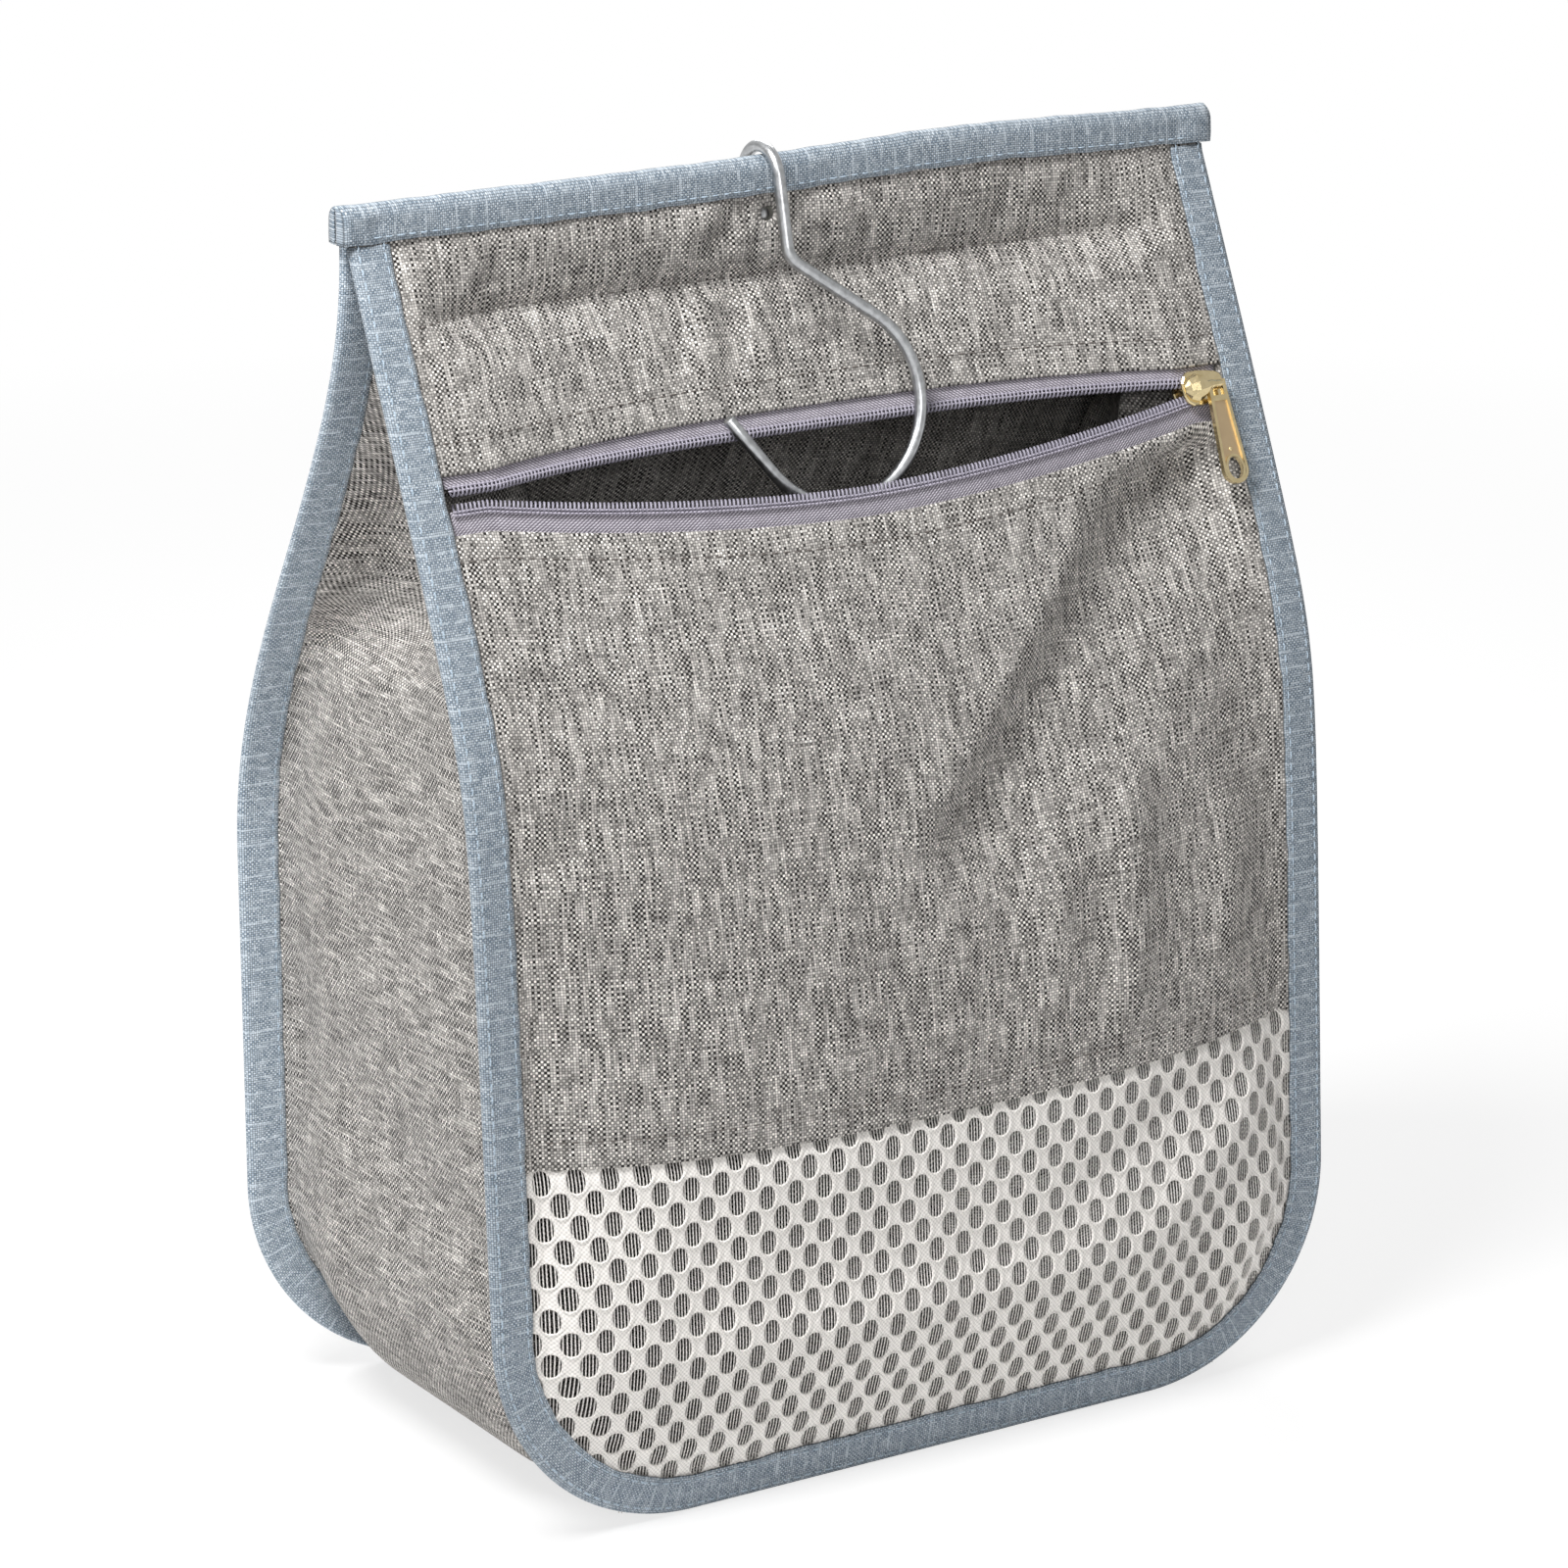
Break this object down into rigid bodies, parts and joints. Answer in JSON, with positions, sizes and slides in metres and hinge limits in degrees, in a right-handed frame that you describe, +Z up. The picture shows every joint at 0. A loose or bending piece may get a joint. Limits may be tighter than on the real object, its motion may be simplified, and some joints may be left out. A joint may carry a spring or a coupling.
{
  "type": "peg bag",
  "caption": "Grey canvas clothes-peg bag with bound seams, a zipped mouth, a net window and a wire hook that folds over the top edge.",
  "frame": {"origin": "middle of the base, under the middle of the bag's box", "axes": "+Z up, front towards -Y, +X to the right seen from the front"},
  "size_m": [0.239, 0.1408, 0.3139],
  "materials": {
    "canvas": "grey melange canvas",
    "net": "white knitted net",
    "binding": "pale blue woven tape",
    "lath": "plain",
    "zip_tape": "lilac-grey woven tape",
    "zip_coil": "nylon coil",
    "brass": "satin brass plate",
    "wire": "grey zinc-plated wire"
  },
  "bodies": {
    "bag": {"back_panel": "canvas", "front_yoke": "canvas", "front_panel": "canvas", "mesh_window": "net", "gusset": "canvas", "front_binding": "binding", "back_binding": "binding", "top_binding": "binding", "hanger_lath": "lath", "zip_tape_upper": "zip_tape", "zip_tape_lower": "zip_tape", "zip_coil_upper": "zip_coil", "zip_coil_lower": "zip_coil"},
    "slider": {"zip_slider": "brass"},
    "pull": {"zip_pull": "brass"},
    "hook": {"wire_hook": "wire"}
  },
  "joints": [
    {"name": "hook_fold", "type": "hinge", "parent": "bag", "child": "hook", "pos_m": [-0.0075, 0.00207, 0.30435], "axis": [-1, 0, 0], "range_deg": [0, 180]},
    {"name": "zip_slide", "type": "slide", "parent": "bag", "child": "slider", "axis": [-1, 0, 0], "range_m": [0, 0.2042], "deforming": ["zip_tape_upper", "zip_tape_lower", "zip_coil_upper", "zip_coil_lower"]},
    {"name": "pull_swing", "type": "hinge", "parent": "slider", "child": "pull", "pos_m": [0.1043, -0.02845, 0.24686], "axis": [-1, 0, 0], "range_deg": [0, 150]}
  ]
}
